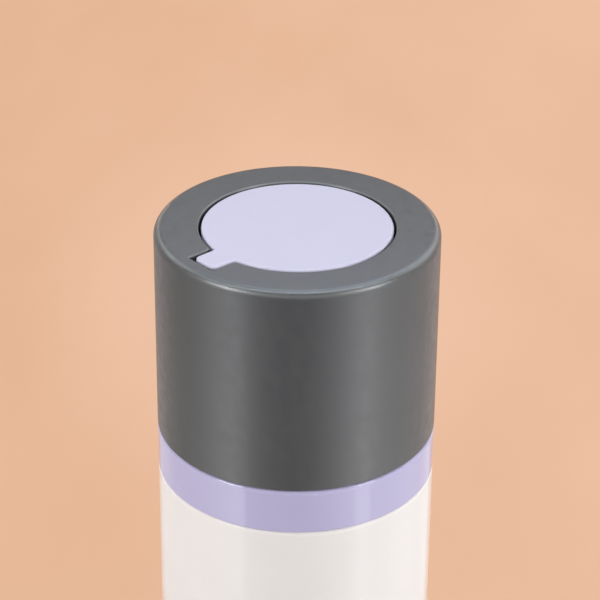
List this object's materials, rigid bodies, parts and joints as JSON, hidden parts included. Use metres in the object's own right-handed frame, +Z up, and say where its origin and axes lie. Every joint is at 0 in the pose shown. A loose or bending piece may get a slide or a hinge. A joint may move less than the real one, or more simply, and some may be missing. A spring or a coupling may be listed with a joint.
{
  "type": "airless pump bottle",
  "caption": "Cylindrical airless pump bottle: twisting the head lifts a flush push button with a spout tab, which works a sprung pump over a follower piston.",
  "frame": {"origin": "centre of the standing rim, at the bottom of the bottle", "axes": "+Z up along the bottle's axis, -Y towards the spout in the closed pose"},
  "size_m": [0.04, 0.04, 0.126],
  "materials": {
    "white_gloss": "glossy moulded white",
    "lilac_gloss": "glossy moulded lilac",
    "lilac_satin": "satin moulded lilac",
    "grey_satin": "satin moulded dark grey",
    "natural_plastic": "natural moulded",
    "soft_seal": "soft moulded",
    "steel": "plain"
  },
  "bodies": {
    "bottle": {"outer_bottle": "white_gloss", "base_cap": "white_gloss", "collar_ring": "lilac_gloss", "guide_sleeve": "natural_plastic"},
    "head": {"twist_shell": "grey_satin", "cam_sleeve": "natural_plastic"},
    "cartridge": {"inner_bottle": "natural_plastic", "cartridge_base": "natural_plastic", "lift_carriage": "natural_plastic", "neck_gasket": "soft_seal", "pump_housing": "natural_plastic", "inlet_cage": "natural_plastic", "pump_gland": "natural_plastic", "return_spring": "steel"},
    "plunger": {"pump_stem": "natural_plastic", "pump_piston": "soft_seal", "piston_retainer": "natural_plastic"},
    "actuator": {"actuator_cap": "lilac_satin", "actuator_core": "natural_plastic", "nozzle_insert": "natural_plastic"},
    "follower": {"follower_piston": "soft_seal"},
    "inlet_valve": {"inlet_ball": "steel"},
    "outlet_valve": {"outlet_ball": "steel"}
  },
  "joints": [
    {"name": "head_twist", "type": "hinge", "parent": "bottle", "child": "head", "pos_m": [0, 0, 0.09497], "axis": [0, 0, 1], "range_deg": [0, 90]},
    {"name": "cartridge_rise", "type": "slide", "parent": "bottle", "child": "cartridge", "axis": [0, 0, 1], "range_m": [0, 0.0074]},
    {"name": "press", "type": "slide", "parent": "cartridge", "child": "plunger", "axis": [0, 0, -1], "range_m": [0, 0.0045], "stiffness_N_per_m": 2000, "springref_m": -0.0002, "deforming": ["return_spring"]},
    {"name": "actuator_turn", "type": "hinge", "parent": "plunger", "child": "actuator", "pos_m": [0, 0, 0.1196], "axis": [0, 0, 1], "range_deg": [0, 90]},
    {"name": "follower_rise", "type": "slide", "parent": "cartridge", "child": "follower", "axis": [0, 0, 1], "range_m": [0, 0.063]},
    {"name": "inlet_lift", "type": "slide", "parent": "cartridge", "child": "inlet_valve", "axis": [0, 0, 1], "range_m": [0, 0.0008]},
    {"name": "outlet_lift", "type": "slide", "parent": "plunger", "child": "outlet_valve", "axis": [0, 0, 1], "range_m": [0, 0.0008]}
  ],
  "couplings": [
    {"joint": "head_twist", "follows": "cartridge_rise", "rad_per_m": 212.27},
    {"joint": "actuator_turn", "follows": "cartridge_rise", "rad_per_m": 212.27}
  ]
}
